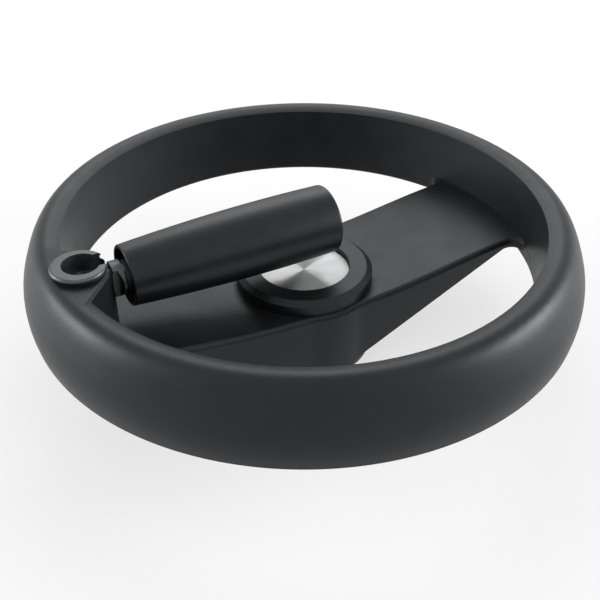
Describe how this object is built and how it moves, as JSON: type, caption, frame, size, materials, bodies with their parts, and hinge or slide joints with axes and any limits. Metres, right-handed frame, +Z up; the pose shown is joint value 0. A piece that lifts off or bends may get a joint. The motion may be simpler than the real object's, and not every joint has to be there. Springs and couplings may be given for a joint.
{
  "type": "machine handwheel",
  "caption": "Two-arm machine handwheel in black moulded plastic with an aluminium hub cap and a revolving handle that folds down over the hub.",
  "frame": {"origin": "on the bore's axis at the bottom face of the hub", "axes": "+Z up along the bore's axis; the two arms and the folded handle lie along X, with the handle's hinge in the rim on the -X side"},
  "size_m": [0.2, 0.2, 0.0654],
  "materials": {
    "wheel_plastic": "fine moulded grain, matt black",
    "grip_plastic": "smooth satin black",
    "cap_aluminium": "face turned, matt anodised",
    "insert_steel": "turned",
    "black_steel": "black oxide",
    "pin_steel": "ground",
    "spring_steel": "drawn wire",
    "washer_plastic": "black",
    "bearing_plastic": "natural acetal"
  },
  "bodies": {
    "wheel": {"wheel_body": "wheel_plastic", "hub_insert": "insert_steel", "hub_cap": "cap_aluminium", "seat_washer": "washer_plastic", "pivot_bush": "black_steel", "pivot_pin": "pin_steel", "base_plug": "black_steel", "detent_spring": "spring_steel"},
    "plunger": {"detent_plunger": "pin_steel"},
    "head": {"swivel_head": "black_steel", "spindle": "pin_steel", "spindle_pin": "pin_steel", "thrust_washer": "pin_steel", "retaining_washer": "pin_steel", "retaining_ring": "spring_steel"},
    "grip": {"grip": "grip_plastic", "front_bearing": "bearing_plastic", "rear_bearing": "bearing_plastic", "grip_end_plug": "grip_plastic"}
  },
  "joints": [
    {"name": "handle_fold", "type": "hinge", "parent": "wheel", "child": "head", "pos_m": [-0.0813, 0, 0.0527], "axis": [0, -1, 0], "range_deg": [0, 90]},
    {"name": "grip_spin", "type": "hinge", "parent": "head", "child": "grip", "pos_m": [-0.0813, 0, 0.0527], "axis": [1, 0, 0], "continuous": true},
    {"name": "plunger_travel", "type": "slide", "parent": "wheel", "child": "plunger", "axis": [0, 0, 1], "range_m": [0, 0.0004], "stiffness_N_per_m": 1500, "springref_m": 0.004, "deforming": ["detent_spring"]}
  ]
}
